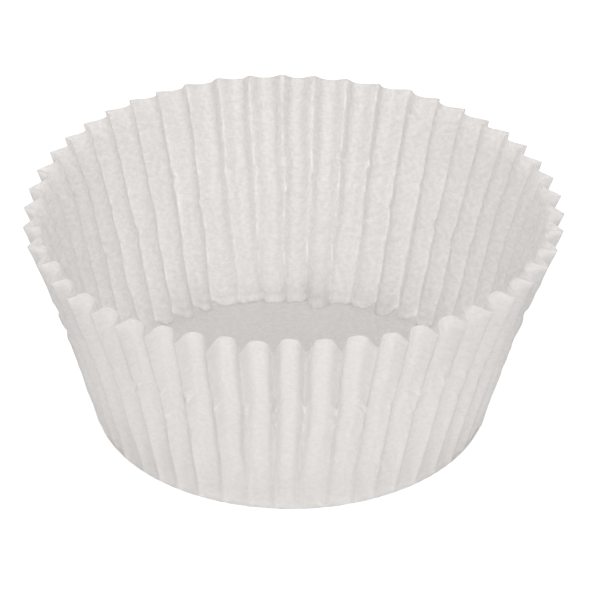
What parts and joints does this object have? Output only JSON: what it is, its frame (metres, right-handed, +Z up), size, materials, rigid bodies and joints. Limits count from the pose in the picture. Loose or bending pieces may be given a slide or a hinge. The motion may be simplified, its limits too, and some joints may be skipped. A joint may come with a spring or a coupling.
{
  "type": "cupcake liner",
  "caption": "Pressed paper baking cup with a flat round floor and a flared wall of sharp-crested flutes, open at the top.",
  "frame": {"origin": "middle of the underside of the floor, on the surface that the cup stands on", "axes": "+Z up, along the cup's own axis; +X and +Y across it, with the first outward crest 5.8 degrees from +X"},
  "size_m": [0.0682, 0.0682, 0.0292],
  "materials": {
    "baking_paper": "matt white greaseproof paper with a faint waxy sheen"
  },
  "bodies": {
    "root": {"liner": "baking_paper"}
  },
  "joints": []
}
